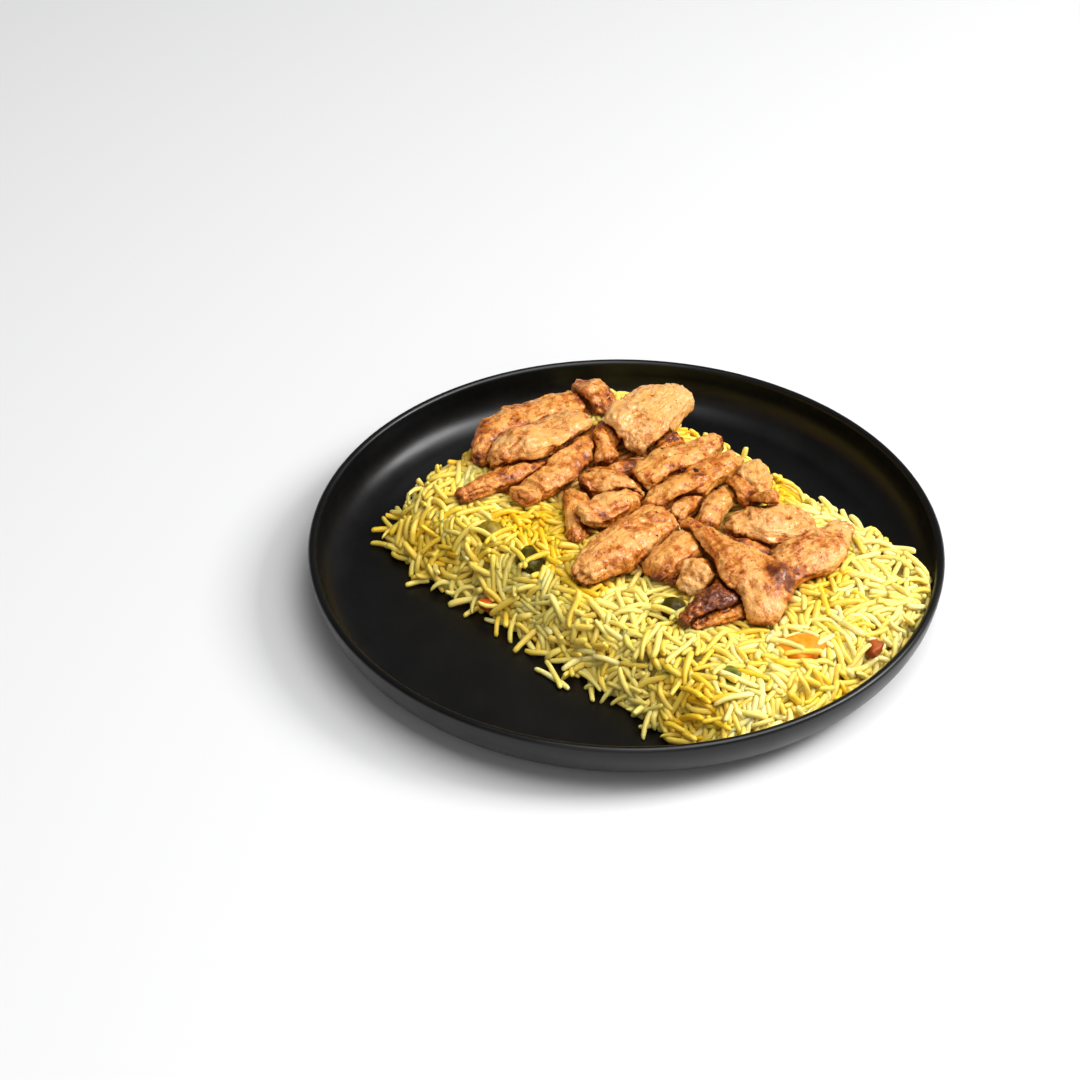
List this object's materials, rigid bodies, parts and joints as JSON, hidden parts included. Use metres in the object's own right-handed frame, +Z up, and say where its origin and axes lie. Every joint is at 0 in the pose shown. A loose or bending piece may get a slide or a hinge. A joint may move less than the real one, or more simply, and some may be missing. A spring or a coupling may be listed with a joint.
{
  "type": "peri peri chicken with yellow rice",
  "caption": "Peri peri chicken strips and vegetables on a slab of long-grain yellow rice, on a black plate with an upright rim.",
  "frame": {"origin": "middle of the plate's foot, on the surface that it stands on", "axes": "+Z up; +X along the long side of the rice slab; the long front side of the rice faces -Y"},
  "size_m": [0.26, 0.26, 0.0458],
  "materials": {
    "matt_black_glaze": "satin",
    "yellow_rice": "satin",
    "roast_chicken": "satin",
    "pale_roast_chicken": "satin",
    "charred_chicken": "satin",
    "pea_green": "satin",
    "dark_green_pepper": "satin",
    "carrot_orange": "satin",
    "red_pepper": "satin"
  },
  "bodies": {
    "root": {"plate": "matt_black_glaze", "rice": "yellow_rice", "chicken_back_left_long": "roast_chicken", "chicken_thin_taper": "roast_chicken", "chicken_shaded_cross": "roast_chicken", "chicken_shaded_right": "roast_chicken", "chicken_left_striped": "pale_roast_chicken", "chicken_small_under_chunk": "pale_roast_chicken", "chicken_brown_sliver": "roast_chicken", "chicken_shaded_tail": "roast_chicken", "chicken_short_fat": "pale_roast_chicken", "chicken_thin_brown": "roast_chicken", "chicken_front_middle": "roast_chicken", "chicken_front_stub": "pale_roast_chicken", "chicken_charred_skirt": "roast_chicken", "chicken_charred_slab": "charred_chicken", "chicken_right_end": "roast_chicken", "chicken_curved": "pale_roast_chicken", "chicken_front_large": "roast_chicken", "chicken_middle_long": "roast_chicken", "chicken_left_bulky": "pale_roast_chicken", "chicken_crosswise": "pale_roast_chicken", "chicken_long": "roast_chicken", "chicken_back_left_chunk": "roast_chicken", "chicken_right_fibrous": "pale_roast_chicken", "chicken_back_end": "roast_chicken", "chicken_brown_bar": "roast_chicken", "chicken_large_chunk": "pale_roast_chicken", "chicken_right_triangle": "roast_chicken", "pea_left": "pea_green", "pea_right": "pea_green", "green_pepper_front": "dark_green_pepper", "green_pepper_right": "dark_green_pepper", "green_pepper_strip": "pea_green", "carrot_piece": "carrot_orange", "red_pepper_front": "red_pepper", "red_pepper_right": "red_pepper"}
  },
  "joints": []
}
